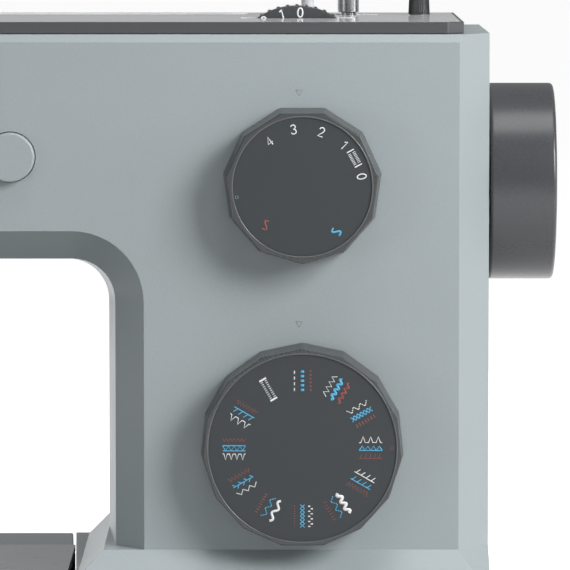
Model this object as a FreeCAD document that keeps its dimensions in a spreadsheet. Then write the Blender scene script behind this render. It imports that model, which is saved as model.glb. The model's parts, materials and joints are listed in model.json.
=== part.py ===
"""Free-arm sewing machine, seen from the operator's side along +Y.

Frame: millimetres, +Z up, X to the operator's right, origin on the table under the
middle of the machine. Every piece is bound to the spreadsheet "sizes".
"""
import FreeCAD, Part
import math
import os
import re
import Sketcher

DOC = FreeCAD.newDocument("sewing_machine")

SIZES = {
    # overall casing
    "front": -43.0, "split": 23.0, "back": 75.0, "left_end": -200.0, "side": 180.0,
    "crown": 287.5, "wall": 2.5, "gap": 0.3, "fit": 0.05,
    "corner_x": 11.5, "corner_y": 17.5, "rim": 3.0, "rim_drop": 2.8,
    # throat
    "throat_left": -126.5, "throat_right": 42.7, "arm_under": 205.0, "head_under": 152.0,
    "bevel_x": 10.8, "bevel_z": 11.0, "bevel_y": 12.0, "draft": 4.2, "throat_round": 15.5,
    "flare": 9.6,
    # base and bed
    "bed_top": 89.5, "bed_front": -75.0, "base_left": 26.9, "splay": 0.045, "base_under": 14.0, "foot_gap": 5.0,
    "bed_corner": 5.0, "rear_corner": 4.0,
    "foot_radius": 8.0, "tongue_end": -150.0,
    # free arm and table
    "arm_front": -32.0, "arm_back": 40.0, "arm_end": -196.0, "arm_low": 32.0,
    "table_end": -203.0, "table_right": 25.9, "table_low": 8.0, "table_wall": 2.5,
    # top block
    "trim_high": 4.5, "trim_front": -39.5, "trim_right": 170.3, "trim_wide": 1.2,
    "trim_corner": 6.0, "deck_round": 1.0,
    "well_left": -60.0, "well_right": 91.0, "well_front": 50.0, "well_deep": 12.0,
    # shafts
    "shaft_y": 10.0, "shaft_z": 231.0, "shaft_radius": 6.0, "shaft_left": -140.0,
    "low_z": 47.0, "low_radius": 5.0, "low_left": -174.0,
    "wheel_radius": 36.65, "wheel_left": 180.5, "wheel_right": 205.0,
    "knob_radius": 15.0, "crank_radius": 16.0, "disc_radius": 21.0,
    "pulley_radius": 16.0, "pulley_left": 150.0, "pulley_wide": 8.0, "belt_thick": 2.0,
    "drive_radius": 28.0, "drive_left": 160.0, "drive_wide": 6.0,
    "motor_y": -35.0, "motor_z": 44.0, "motor_radius": 21.0, "motor_pulley_radius": 7.0,
    # frame
    "frame_y": 36.0, "frame_thick": 6.0, "frame_right": 146.0, "frame_drop": 8.5,
    "lug_thick": 6.0, "bush_radius": 9.0,
    # needle side
    "needle_x": -165.0, "needle_y": 10.0, "bar_radius": 3.2, "bar_low": 131.0,
    "bar_high": 276.0, "stroke": 32.0, "needle_tip": 103.0, "needle_long": 37.0,
    "link_long": 45.0, "link_x": -157.0, "link_thick": 4.0, "link_pin": 2.0,
    "gate_low": 158.0, "gate_high": 238.0, "gate_pivot": 262.0, "gate_plate": 5.0,
    "press_y": 23.0, "press_radius": 3.5, "press_low": 112.0, "press_high": 246.0,
    "hook_y": -8.0, "hook_radius": 15.0, "hook_low": 60.0, "hook_high": 84.0,
    "gear_radius": 8.8, "plate_thick": 2.5,
    # controls
    "dial_x": 111.3, "dial_depth": 14.8, "dial_gap": 0.8,
    "upper_z": 233.1, "upper_base": 29.1, "upper_front": 27.8,
    "lower_z": 138.2, "lower_base": 37.2, "lower_front": 36.2,
    "stem_radius": 4.0, "cam_radius": 24.0,
    "disc_x": 109.4, "disc_y": 4.0, "disc_wide": 8.0, "disc_drop": 17.3, "width_radius": 26.8,
    "spool_x": 113.5, "spool_y": 24.0, "spool_radius": 2.4, "spool_high": 345.0,
    "winder_x": 129.1, "winder_y": 47.0, "winder_flange": 4.05, "winder_travel": 7.0,
    "stop_x": 156.0, "stop_radius": 4.15, "stop_high": 12.0,
    "tension_x": -150.0, "tension_z": 250.0, "tension_radius": 11.0,
    "reverse_x": 5.0, "reverse_z": 243.0, "reverse_radius": 9.0,
}

SHEET = DOC.addObject("Spreadsheet::Sheet", "sizes")
for row, (alias, value) in enumerate(SIZES.items(), 1):
    SHEET.set(f"A{row}", alias)
    SHEET.set(f"B{row}", repr(value))
    SHEET.setAlias(f"B{row}", alias)
DOC.recompute()

PIECES = []


def formula(text):
    """Write each size name in a formula as a cell of the sheet."""
    def cell(match):
        word = match.group(0)
        return f"sizes.{word}" if word in SIZES else word
    return re.sub(r"[a-z_]+", cell, str(text))


def value(text):
    """The number that a formula gives now, for the first guess of a sketch."""
    SHEET.set("D1", f"={text}")
    SHEET.recompute()
    return float(SHEET.get("D1"))


def bind(thing, **properties):
    """Tie properties to formulas; an underscore pair stands for a dot."""
    for name, text in properties.items():
        thing.setExpression(name.replace("__", "."), formula(text))
    return thing


def place(thing, x, y, z):
    return bind(thing, Placement__Base__x=x, Placement__Base__y=y, Placement__Base__z=z)


def turn(thing, axis):
    """Point a primitive's own Z along an axis of the machine."""
    turns = {"x": ((0, 1, 0), 90), "y": ((1, 0, 0), -90), "z": ((0, 0, 1), 0)}
    direction, angle = turns[axis]
    thing.Placement.Rotation = FreeCAD.Rotation(FreeCAD.Vector(*direction), angle)
    return thing


def box(x0, x1, y0, y1, z0, z1):
    block = DOC.addObject("Part::Box", "block")
    bind(block, Length=f"({x1})-({x0})", Width=f"({y1})-({y0})", Height=f"({z1})-({z0})")
    return place(block, x0, y0, z0)


def rod(axis, start, end, across, radius):
    """A cylinder along an axis, from start to end; across gives its other two coordinates."""
    thing = turn(DOC.addObject("Part::Cylinder", "rod"), axis)
    bind(thing, Radius=radius, Height=f"({end})-({start})")
    return place(thing, *spot(axis, start, across))


def cone(axis, start, end, across, radius, end_radius):
    thing = turn(DOC.addObject("Part::Cone", "cone"), axis)
    bind(thing, Radius1=radius, Radius2=end_radius, Height=f"({end})-({start})")
    return place(thing, *spot(axis, start, across))


def spot(axis, start, across):
    first, second = across
    return {"x": (start, first, second), "y": (first, start, second),
            "z": (first, second, start)}[axis]


def join(*things):
    fused = DOC.addObject("Part::MultiFuse", "join")
    fused.Shapes = list(things)
    return fused


def cut(base, *tools):
    for tool in tools:
        less = DOC.addObject("Part::Cut", "cut")
        less.Base = base
        less.Tool = tool
        base = less
    return base


def group(*things):
    result = DOC.addObject("Part::Compound", "group")
    result.Links = list(things)
    return result


def ring(axis, start, end, across, radius, bore):
    reach = 1
    hole = rod(axis, f"({start})-{reach}", f"({end})+{reach}", across, bore)
    return cut(rod(axis, start, end, across, radius), hole)


def outline(sketch, corners):
    """Draw a closed outline; a corner is (x, y) or (x, y, radius), each a formula."""
    sharp = [FreeCAD.Vector(value(c[0]), value(c[1]), 0) for c in corners]
    count = len(corners)
    starts, ends = list(sharp), list(sharp)
    arcs = {}
    for i, corner in enumerate(corners):
        if len(corner) < 3:
            continue
        radius = value(corner[2])
        before = (sharp[i - 1] - sharp[i]).normalize()
        after = (sharp[(i + 1) % count] - sharp[i]).normalize()
        half = before.getAngle(after) / 2
        ends[i] = sharp[i] + before * (radius / math.tan(half))
        starts[i] = sharp[i] + after * (radius / math.tan(half))
        middle = (before + after).normalize()
        centre = sharp[i] + middle * (radius / math.sin(half))
        arcs[i] = Part.Arc(ends[i], centre - middle * radius, starts[i])
    lines = {}
    for i in range(count):
        after = (i + 1) % count
        lines[i] = sketch.addGeometry(Part.LineSegment(starts[i], ends[after]), False)

    def fix(kind, name, geometry, point, text):
        number = sketch.addConstraint(Sketcher.Constraint(kind, -1, 1, geometry, point, value(text)))
        sketch.setExpression(f"Constraints[{number}]", formula(text))

    for i, corner in enumerate(corners):
        before, after = lines[(i - 1) % count], lines[i]
        if i not in arcs:
            sketch.addConstraint(Sketcher.Constraint("Coincident", before, 2, after, 1))
            fix("DistanceX", "x", after, 1, corner[0])
            fix("DistanceY", "y", after, 1, corner[1])
            continue
        arc = sketch.addGeometry(arcs[i], False)
        first, last = 1, 2
        if (sketch.getPoint(arc, 1) - ends[i]).Length > (sketch.getPoint(arc, 2) - ends[i]).Length:
            first, last = 2, 1
        point = sketch.addGeometry(Part.Point(sharp[i]), True)
        fix("DistanceX", "x", point, 1, corner[0])
        fix("DistanceY", "y", point, 1, corner[1])
        sketch.addConstraint(Sketcher.Constraint("PointOnObject", point, 1, before))
        sketch.addConstraint(Sketcher.Constraint("PointOnObject", point, 1, after))
        sketch.addConstraint(Sketcher.Constraint("Tangent", before, 2, arc, first))
        sketch.addConstraint(Sketcher.Constraint("Tangent", arc, last, after, 1))
        number = sketch.addConstraint(Sketcher.Constraint("Radius", arc, value(corner[2])))
        sketch.setExpression(f"Constraints[{number}]", formula(corner[2]))
    return sketch


def section(axis, level, corners):
    """A sketch across an axis: y shows (x, z), z shows (x, y)."""
    sketch = DOC.addObject("Sketcher::SketchObject", "section")
    if axis == "y":
        sketch.Placement.Rotation = FreeCAD.Rotation(FreeCAD.Vector(1, 0, 0), 90)
        bind(sketch, Placement__Base__y=level)
    else:
        bind(sketch, Placement__Base__z=level)
    return outline(sketch, corners)


def loft(axis, *levels):
    """A solid with flat flanks through (level, corners) sections."""
    solid = DOC.addObject("Part::Loft", "loft")
    solid.Sections = [section(axis, level, corners) for level, corners in levels]
    solid.Solid = True
    solid.Ruled = True
    return solid


def prism(axis, start, end, corners):
    """A body with one sketch and one pad; x shows (y, z), y shows (x, z), z shows (x, y)."""
    body = DOC.addObject("PartDesign::Body", "prism")
    role = {"x": "YZ_Plane", "y": "XZ_Plane", "z": "XY_Plane"}[axis]
    plane = [item for item in body.Origin.OriginFeatures if item.Role == role][0]
    sketch = body.newObject("Sketcher::SketchObject", "profile")
    sketch.AttachmentSupport = [(plane, "")]
    sketch.MapMode = "FlatFace"
    lift = f"-({end})" if axis == "y" else start
    bind(sketch, AttachmentOffset__Base__z=lift)
    outline(sketch, corners)
    pad = body.newObject("PartDesign::Pad", "pad")
    pad.Profile = sketch
    bind(pad, Length=f"({end})-({start})")
    return body


def piece(name, thing):
    thing.Label = name
    PIECES.append(thing)
    return thing


# ---------------------------------------------------------------- casing shells
def bevel(depth):
    """How much of the throat bevel is left at a depth behind the front face."""
    return f"max(0; 1 - ({depth})/bevel_y)"


def drafted(depth):
    return f"draft*max(0; ({depth}) - bevel_y)/(split - front - bevel_y)"


def shell_corners(depth, inset, foot):
    """The casing's outline in X and Z at a depth behind the front face."""
    right = f"side - ({inset}) - corner_x*max(0; 1 - ({depth})/corner_y)"
    top = f"crown - ({inset}) - rim_drop*max(0; 1 - ({depth})/rim)"
    throat_right = f"throat_right + ({inset}) + bevel_x*{bevel(depth)} - {drafted(depth)}"
    throat_left = f"throat_left - ({inset}) - bevel_x*{bevel(depth)} + {drafted(depth)}"
    under = f"arm_under + ({inset}) + bevel_z*{bevel(depth)} - {drafted(depth)}"
    turn_radius = f"throat_round + ({inset}) + bevel_x*{bevel(depth)}"
    head = f"head_under + ({inset})"
    return [("left_end", head), ("left_end", top), (right, top), (right, foot),
            (throat_right, foot), (throat_right, under, turn_radius),
            (throat_left, under, turn_radius), (throat_left, head)]


def front_loft(inset, foot):
    depths = ["0", "rim", "bevel_y", "corner_y", f"split - front - ({inset})"]
    levels = [(f"front + ({inset}) + {depth}", shell_corners(depth, inset, foot))
              for depth in depths]
    return loft("y", *levels)


def rear_corners(inset, foot, base_left, corner):
    """The casing behind the split, down to the base."""
    throat_right = f"throat_right - draft + ({inset})"
    throat_left = f"throat_left + draft - ({inset})"
    under = f"arm_under - draft + ({inset})"
    return [(f"left_end", f"head_under + ({inset})"), ("left_end", f"crown - ({inset}) - ({corner})"),
            (f"side - ({inset}) - ({corner})", f"crown - ({inset}) - ({corner})"),
            (f"side - ({inset}) - ({corner})", foot), (base_left, foot),
            (base_left, f"bed_top - ({inset})"),
            (f"{throat_right} - flare", f"bed_top - ({inset})"),
            (throat_right, f"bed_top - ({inset}) + flare"),
            (throat_right, under, f"throat_round + ({inset})"),
            (throat_left, under, f"throat_round + ({inset})"),
            (throat_left, f"head_under + ({inset})")]


def base_end(depth):
    """Where the base's left end stands at a depth: it is splayed towards the front."""
    return f"base_left - splay*({depth})"


def base_plan(front, corner_x, corner_y, left, left_back):
    """The base's outline in X and Y, with its front right corner cut off."""
    return [(left, front), (f"side - ({corner_x})", front), ("side", f"({front}) + ({corner_y})"),
            ("side", "split"), (left_back, "split")]


flare_x = "corner_x - 0.76*flare"
flare_left = "throat_right - draft - flare"
wide_plan = base_plan("front - flare", flare_x, f"corner_y*({flare_x})/corner_x", flare_left,
                      flare_left)
narrow_plan = base_plan("front", "corner_x", "corner_y", "throat_right - draft",
                        "throat_right - draft")
slope = loft("z", ("bed_top - 1", wide_plan), ("bed_top", wide_plan),
             ("bed_top + flare", narrow_plan))
base_front = prism("z", "base_under", "bed_top",
                   base_plan("bed_front", "bed_corner", "bed_corner", base_end("bed_front"),
                             base_end("split")))
base_cavity = box(f"{base_end('bed_front')} + wall", "side - wall", "bed_front + wall", "split + 1",
                  "base_under - 1", "bed_top - wall")
corner_keep = prism("z", "base_under - 2", "bed_top - wall",
                    [("side - bed_corner - wall", "bed_front"), ("side", "bed_front"),
                     ("side", "bed_front + bed_corner + wall")])
shaft_hole = rod("x", "side - 12", "side + 5", ("shaft_y", "shaft_z"), "shaft_radius + 6")
deck_hole = box("left_end - 1", "trim_right - 8", "trim_front + trim_wide + 1", "back - 3.5",
                "crown - wall - 2", "crown + 5")
head_hole = box("needle_x - 32", "needle_x + 14", "-25", "press_y + 15",
                "head_under - 1", "head_under + wall + 1")
lever_slot = box("needle_x - 29", "needle_x - 22", "front - 1", "front + wall + 4", "228", "283")
arm_hole = box("base_left - 6", "base_left + wall + 6", "arm_front + 3", "split + 1",
               "arm_low + wall", "bed_top - 3.5")
arm_hole_rear = box("base_left - 6", "base_left + wall + 6", "split - 1", "arm_back - wall",
                    "arm_low + wall", "bed_top - 3.5")
dial_holes = [rod("y", "front - 2", "front + wall + 2", ("dial_x", level), "stem_radius + fit")
              for level in ("upper_z", "lower_z")]
tension_hole = rod("y", "front - 2", "front + wall + 2", ("tension_x", "tension_z"),
                   "stem_radius + fit")
reverse_hole = rod("y", "front - 2", "front + wall + 2", ("reverse_x", "reverse_z"),
                   "reverse_radius + gap")
socket_hole = box("side - wall - 1", "side + 1", "40 - gap", "62 + gap", "30 - gap", "52 + gap")
switch_hole = box("side - wall - 1", "side + 1", "-12 - gap", "12 + gap", "44 - gap", "64 + gap")
front_outer = join(front_loft("0", "bed_top + 1"), slope, base_front)
front_inner = join(front_loft("wall", "bed_top - 10"), cut(base_cavity, corner_keep))
piece("front_cover", cut(front_outer, front_inner, shaft_hole, deck_hole, head_hole, lever_slot,
                         arm_hole, tension_hole, reverse_hole, switch_hole, *dial_holes))

rear_seam = "split + 0.05"
rear_outer = loft("y", (rear_seam, rear_corners("0", "base_under", base_end("split"), "0")),
                  ("back - rear_corner", rear_corners("0", "base_under",
                                                      base_end("back - rear_corner"), "0")),
                  ("back", rear_corners("0", "base_under", base_end("back"), "rear_corner")))
rear_inner = loft("y", ("split - 1", rear_corners("wall", "base_under - 1",
                                                  "base_left + wall", "0")),
                  ("back - rear_corner - wall", rear_corners("wall", "base_under - 1",
                                                             "base_left + wall", "0")),
                  ("back - wall", rear_corners("wall", "base_under - 1", "base_left + wall",
                                               "rear_corner")))
piece("rear_cover", cut(rear_outer, rear_inner, shaft_hole, deck_hole, head_hole,
                        arm_hole_rear, socket_hole))

face_plate = box("left_end - 5", "left_end - gap", "trim_front", "back - rear_corner",
                 "head_under", "crown - rim")
screw_spots = [("55", "head_under + 12"), ("55", "crown - 20"), ("-25", "crown - 20")]
piece("face_cover", cut(face_plate, *[rod("x", "left_end - 6", "left_end", spot_, "2")
                                      for spot_ in screw_spots]))
face_screws = [rod("x", "left_end - 5", "left_end - gap", spot_, "1.95")
               for spot_ in screw_spots]

# ---------------------------------------------------------------- top
trim_back = "back - 1"
trim_outer = prism("z", "crown + 0.1", "crown + trim_high",
                   [("left_end - 3", "trim_front"), ("trim_right - trim_corner", "trim_front"),
                    ("trim_right", "trim_front + trim_corner"), ("trim_right", trim_back),
                    ("left_end - 3", trim_back)])
trim_hole = box("left_end - 3 + trim_wide", "trim_right - trim_wide", "trim_front + trim_wide",
                f"{trim_back} - trim_wide", "crown - 1", "crown + trim_high + 1")
trim_keep = prism("z", "crown - 2", "crown + trim_high + 2",
                  [("trim_right - trim_corner - trim_wide", "trim_front"),
                   ("trim_right", "trim_front"), ("trim_right", "trim_front + trim_corner + trim_wide")])
piece("top_trim", cut(trim_outer, cut(trim_hole, trim_keep)))

deck_left = "left_end - 3 + trim_wide + 0.1"
deck_right = "trim_right - trim_wide - 0.1"
deck_front = "trim_front + trim_wide + 0.1"
deck_back = f"{trim_back} - trim_wide - 0.1"
deck_plate = box(deck_left, deck_right, deck_front, deck_back, "crown + 0.1", "crown + trim_high")
deck_cut = prism("z", "crown - 2", "crown + trim_high + 2",
                 [("trim_right - trim_corner - trim_wide - 0.2", "trim_front"),
                  ("trim_right", "trim_front"),
                  ("trim_right", "trim_front + trim_corner + trim_wide + 0.2")])
well_block = box("well_left - wall", "well_right + wall", "well_front - wall", f"{deck_back} - 2",
                 "crown + trim_high - well_deep - wall", "crown + 1")
well_space = box("well_left", "well_right", "well_front", f"{deck_back} - 2 - wall",
                 "crown + trim_high - well_deep", "crown + trim_high + 1")
disc_slot = box("disc_x - width_radius + 6", "disc_x + width_radius - 6",
                "disc_y - 0.6", "disc_y + disc_wide + 0.6", "crown - 1", "crown + trim_high + 1")
spool_sleeve = rod("z", "crown - 22", "crown + 1", ("spool_x", "spool_y"), "spool_radius + 2.5")
spool_bore = rod("z", "crown - 24", "crown + trim_high + 1", ("spool_x", "spool_y"),
                 "spool_radius + fit")
winder_slot = box("winder_x - 4.5", "winder_x + winder_travel + 4.5", "winder_y - 4.5",
                  "winder_y + 4.5", "crown - 1", "crown + trim_high + 1")
guide_hole = rod("z", "crown - 1", "crown + trim_high + 1", ("-100", "45"), "1.5")
deck = join(deck_plate, well_block, spool_sleeve)
piece("top_cover", cut(deck, deck_cut, well_space, disc_slot, spool_bore, winder_slot, guide_hole))

handle_z = "crown + trim_high - 6"
pin_across = ("well_front + 5.5", handle_z)
grip = box("well_left + 14.5", "well_right - 14.5", "well_front + 2", f"{deck_back} - 5.5",
           "crown + trim_high - 9.5", "crown + trim_high - 2")
grip_space = box("well_left + 24", "well_right - 24", "well_front + 1", f"{deck_back} - 10",
                 "crown + trim_high - 12", "crown + trim_high + 1")
pin_bore = rod("x", "well_left - 2", "well_right + 2", pin_across, "1.5 + fit")
piece("carry_handle", cut(grip, grip_space, pin_bore))
piece("handle_pins", group(rod("x", "well_left + gap", "well_left + 22", pin_across, "1.5"),
                           rod("x", "well_right - 22", "well_right - gap", pin_across, "1.5")))

piece("spool_pin", rod("z", "crown - 26", "spool_high", ("spool_x", "spool_y"), "spool_radius"))
piece("winder_stop", cone("z", "crown + trim_high", "crown + trim_high + stop_high",
                          ("stop_x", "winder_y - 2"), "stop_radius", "stop_radius - 0.55"))
piece("thread_guide", join(rod("z", "crown + gap", "crown + trim_high + 8", ("-100", "45"), "1.45"),
                           ring("z", "crown + trim_high + 3", "crown + trim_high + 6",
                                ("-100", "45"), "6", "1.4")))

# ---------------------------------------------------------------- base
pan_rim = box(f"{base_end('bed_front')} + 0.1", "side - 0.5", "bed_front + 6", "back - rear_corner", "foot_gap",
              "base_under - 0.1")
tongue = box("tongue_end", "base_left + 5", "arm_front + 2", "arm_back - 2", "foot_gap",
             "base_under - 0.1")
pan_space = box("base_left + 8", "side - 8", "bed_front + 14", "back - 12",
                "foot_gap + 3", "base_under + 1")
pan_posts = [box(x, f"{x} + 10", "12", "40", "foot_gap", "base_under - 0.1")
             for x in ("70", "130")]
piece("base_pan", join(cut(join(pan_rim, tongue), pan_space), *pan_posts))
foot_spots = [(x, y) for x in ("45", "160") for y in ("-58", "58")] + [
    ("tongue_end + 12", "arm_front + 12"), ("tongue_end + 12", "arm_back - 12")]
piece("rubber_feet", group(*[rod("z", "0", "foot_gap - 0.05", spot_, "foot_radius")
                             for spot_ in foot_spots]))

arm_right = f"{base_end('arm_back')} - gap"
arm_outer = box("arm_end", arm_right, "arm_front", "arm_back", "arm_low",
                "bed_top - plate_thick - 0.1")
arm_inner = box("arm_end + wall", "base_left + 2", "arm_front + wall", "arm_back - wall",
                "arm_low + wall", "bed_top - plate_thick - wall")
arm_open = box("arm_end + wall", "needle_x + 32", "arm_front + wall", "arm_back - wall",
               "arm_low + wall", "bed_top + 2")
piece("free_arm_cover", cut(arm_outer, arm_inner, arm_open))
plate = box("arm_end", arm_right, "arm_front", "arm_back", "bed_top - plate_thick", "bed_top")
needle_slot = box("needle_x - 4.5", "needle_x + 4.5", "needle_y - 1.2", "needle_y + 1.2",
                  "bed_top - 5", "bed_top + 1")
feed_rows = [("-11", "needle_y + 0.5"), ("-1.5", "needle_y + 5"), ("8", "needle_y + 0.5")]
feed_slots = [box(f"needle_x + ({x}) - 0.5", f"needle_x + ({x}) + 3.5", f"{y} - 3.5",
                  "needle_y + 21.5", "bed_top - 5", "bed_top + 1") for x, y in feed_rows]
cover_hole = box("needle_x - 18", "needle_x + 18", "arm_front + 4", "needle_y - 8.5",
                 "bed_top - 1.5", "bed_top + 1")
cover_well = box("needle_x - 16", "needle_x + 16", "arm_front + 6", "needle_y - 10.5",
                 "bed_top - 5", "bed_top + 1")
plate_screws = [("needle_x - 26", y) for y in ("arm_front + 8", "arm_back - 8")]
screw_holes = [rod("z", "bed_top - 5", "bed_top + 1", spot_, "3 + fit") for spot_ in plate_screws]
piece("needle_plate", cut(plate, needle_slot, cover_hole, cover_well, *feed_slots, *screw_holes))
piece("bobbin_cover", box("needle_x - 18 + gap", "needle_x + 18 - gap", "arm_front + 4 + gap",
                          "needle_y - 8.5 - gap", "bed_top - 1.5", "bed_top - 0.05"))

table_outer = prism("z", "table_low", "bed_top - 0.2",
                    [("table_end", "bed_front"), ("table_right - splay*bed_front", "bed_front"),
                     ("table_right - splay*back", "back"), ("table_end", "back")])
table_notch = box("table_end + 6", "table_right + 6", "arm_front - gap", "arm_back + gap",
                  "table_low - 1", "bed_top + 1")
store = box("table_end + table_wall", "table_right - table_wall", "bed_front - 1",
            "arm_front - gap - table_wall", "table_low + table_wall", "bed_top - table_wall")
rear_store = box("table_end + table_wall", "table_right - splay*back - table_wall", "arm_back + gap + table_wall",
                 "back - table_wall", "table_low - 1", "bed_top - table_wall")
piece("extension_table", cut(table_outer, table_notch, store, rear_store))
lid = box("table_end + table_wall + gap", "table_right - table_wall - gap", "bed_front",
          "bed_front + table_wall", "table_low + table_wall + gap", "bed_top - table_wall - gap")
piece("accessory_lid", lid)

# ---------------------------------------------------------------- frame
frame_back = "frame_y + frame_thick"
arm_plate = box("needle_x - 25", "frame_right", "frame_y", frame_back, "shaft_z - 19", "crown - frame_drop")
column = box("60", "frame_right", "frame_y", frame_back, "base_under", "shaft_z")
base_plate = box("base_left + 10", "frame_right", "10", frame_back, "base_under", "base_under + 6")
lug_xs = ["frame_right - lug_thick", "20", "needle_x + 31"]
lugs = [box(x, f"{x} + lug_thick", "shaft_y - 14", "frame_y + 1", "shaft_z - 16", "shaft_z + 14")
        for x in lug_xs]
low_lug = box("frame_right - lug_thick", "frame_right", "shaft_y - 12", "frame_y + 1",
              "base_under + 1", "low_z + 12")
gate_lug = box("needle_x - 15", "needle_x + 15", "needle_y + 12", "frame_y + 1",
               "gate_pivot - 6", "gate_pivot + 6")
press_lugs = [box("needle_x - 6", "needle_x + 6", "press_y - 6", "frame_y + 1", level,
                  f"{level} + 10") for level in ("head_under + 8", "shaft_z - 8")]
head_plate = box("needle_x - 18", "needle_x + 18", "frame_y", frame_back, "head_under + 8",
                 "shaft_z")
press_bores = rod("z", "head_under", "shaft_z + 14", ("needle_x", "press_y"), "press_radius + fit")
bush_bores = rod("x", "needle_x + 20", "frame_right + 5", ("shaft_y", "shaft_z"), "bush_radius")
low_bore = rod("x", "frame_right - 10", "frame_right + 5", ("shaft_y", "low_z"),
               "low_radius + fit")
lever_stub = box("needle_x - 24", "needle_x - 14", "needle_y + 4", "frame_y + 1", "244", "256")
lever_bore = rod("x", "needle_x - 30", "needle_x - 10", ("needle_y + 12", "250"), "3 + fit")
gate_bore = rod("y", "needle_y", "frame_y + 10", ("needle_x", "gate_pivot"), "3 + fit")
disc_arm = box("disc_x - 12", "disc_x - 4", "disc_y + 9", "frame_y + 1", "crown - disc_drop - 8",
               "crown - disc_drop + 8")
disc_lug = box("disc_x - 12", "disc_x + 5", "disc_y + 9", "disc_y + 13", "crown - disc_drop - 8",
               "crown - disc_drop + 8")
width_bore = rod("y", "disc_y + 8", "disc_y + 15", ("disc_x", "crown - disc_drop"), "3 + fit")
frame_solid = join(arm_plate, column, base_plate, low_lug, gate_lug, head_plate, lever_stub,
                   disc_arm, disc_lug,
                   *lugs, *press_lugs)
piece("arm_frame", cut(frame_solid, press_bores, bush_bores, low_bore, lever_bore, gate_bore,
                       width_bore))
piece("shaft_bushes", group(*[ring("x", f"{x} - 1", f"{x} + lug_thick + 1", ("shaft_y", "shaft_z"),
                                   "bush_radius - 0.01", "shaft_radius + fit") for x in lug_xs]))
bed_rail = box("needle_x - 25", "base_left + 9", "arm_back - wall - 8", "arm_back - wall - gap",
               "arm_low + wall + gap", "arm_low + 14")
bed_floor = box("needle_x - 25", "needle_x + 45", "arm_front + wall + gap", "arm_back - wall - gap",
                "arm_low + wall + gap", "arm_low + 7")
bed_lug = box("-110", "-104", "shaft_y - 9", "arm_back - wall - gap", "arm_low + 3",
              "low_z + 9")
rail_foot = box("base_left + 4", "60", "arm_back - wall - 8", "frame_y + 5", "base_under", "arm_low + 14")
rail_join = box("base_left - 5", "60", "arm_back - wall - 8", "arm_back - wall - gap",
                "arm_low + 3", "arm_low + 14")
lug_rib = box("-112", "-102", "shaft_y - 9", "arm_back - wall - gap", "arm_low + wall + gap",
              "arm_low + 6")
hook_boss = rod("z", "arm_low + 4", "hook_low - 8.3", ("needle_x", "hook_y"), "7")
hook_bore = rod("z", "arm_low", "hook_low + 20", ("needle_x", "hook_y"), "4 + fit")
bed_bore = rod("x", "-120", "-95", ("shaft_y", "low_z"), "low_radius + fit")
feed_post = box("-100", "-70", "needle_y + 16", "arm_back - wall - gap", "arm_low + 10",
                "65.7")
piece("bed_frame", cut(join(bed_rail, bed_floor, bed_lug, rail_foot, rail_join, lug_rib,
                            hook_boss, feed_post), hook_bore, bed_bore,
                       box("base_left + 3", "61", "9", frame_back, "base_under - 1",
                           "base_under + 6")))

# ---------------------------------------------------------------- drive
axle = ("shaft_y", "shaft_z")
low_axle = ("shaft_y", "low_z")
piece("main_shaft", rod("x", "shaft_left", "wheel_right - 3", axle, "shaft_radius"))
crank_disc = rod("x", "shaft_left - 6", "shaft_left", axle, "disc_radius")
crank_pin = rod("x", "shaft_left - 11", "shaft_left - 5", ("shaft_y", "shaft_z + crank_radius"), "3.5")
piece("crank_disc", join(crank_disc, crank_pin))
wheel_rim = ring("x", "wheel_left", "wheel_right", axle, "wheel_radius", "knob_radius + gap")
wheel_web = ring("x", "wheel_left", "wheel_left + 8", axle, "knob_radius + 2", "shaft_radius")
piece("handwheel", join(wheel_rim, wheel_web))
piece("clutch_knob", ring("x", "wheel_left + 8.05", "wheel_right - 1", axle, "knob_radius",
                          "shaft_radius"))
piece("shaft_pulleys", group(ring("x", "drive_left", "drive_left + drive_wide", axle,
                                  "drive_radius", "shaft_radius"),
                             ring("x", "pulley_left", "pulley_left + pulley_wide", axle,
                                  "pulley_radius", "shaft_radius")))
piece("lower_pulley", ring("x", "pulley_left", "pulley_left + pulley_wide", low_axle,
                           "pulley_radius", "low_radius"))
lower_gear = rod("x", "needle_x - 8.6", "needle_x + 8.6", low_axle, "7.6")
piece("lower_shaft", join(lower_gear, rod("x", "low_left", "pulley_left + pulley_wide + 2",
                                          low_axle, "low_radius")))


def belt(start, end, first, first_radius, second, second_radius):
    """A band round two pulleys: an outer hull less an inner one."""
    def hull(grow, x0, x1):
        dy = value(f"{second[0]} - {first[0]}")
        dz = value(f"{second[1]} - {first[1]}")
        radii = (value(first_radius) + grow, value(second_radius) + grow)
        reach = math.hypot(dy, dz)
        lean = math.atan2(dz, dy)
        spread = math.acos((radii[0] - radii[1]) / reach)
        centres = [(value(first[0]), value(first[1])), (value(second[0]), value(second[1]))]

        def on_circle(which, angle):
            y = centres[which][0] + radii[which] * math.cos(angle)
            z = centres[which][1] + radii[which] * math.sin(angle)
            return FreeCAD.Vector(x0, y, z)
        up, down = lean + spread, lean - spread
        edges = [Part.LineSegment(on_circle(0, up), on_circle(1, up)),
                 Part.Arc(on_circle(1, up), on_circle(1, lean), on_circle(1, down)),
                 Part.LineSegment(on_circle(1, down), on_circle(0, down)),
                 Part.Arc(on_circle(0, down), on_circle(0, lean + math.pi), on_circle(0, up))]
        face = Part.Face(Part.Wire([edge.toShape() for edge in edges]))
        return face.extrude(FreeCAD.Vector(x1 - x0, 0, 0))

    x0, x1 = value(start), value(end)
    band = DOC.addObject("Part::Feature", "band")
    inner = hull(value("gap"), x0 - 1, x1 + 1)
    band.Shape = hull(value("gap + belt_thick"), x0, x1).cut(inner)
    return band


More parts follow.
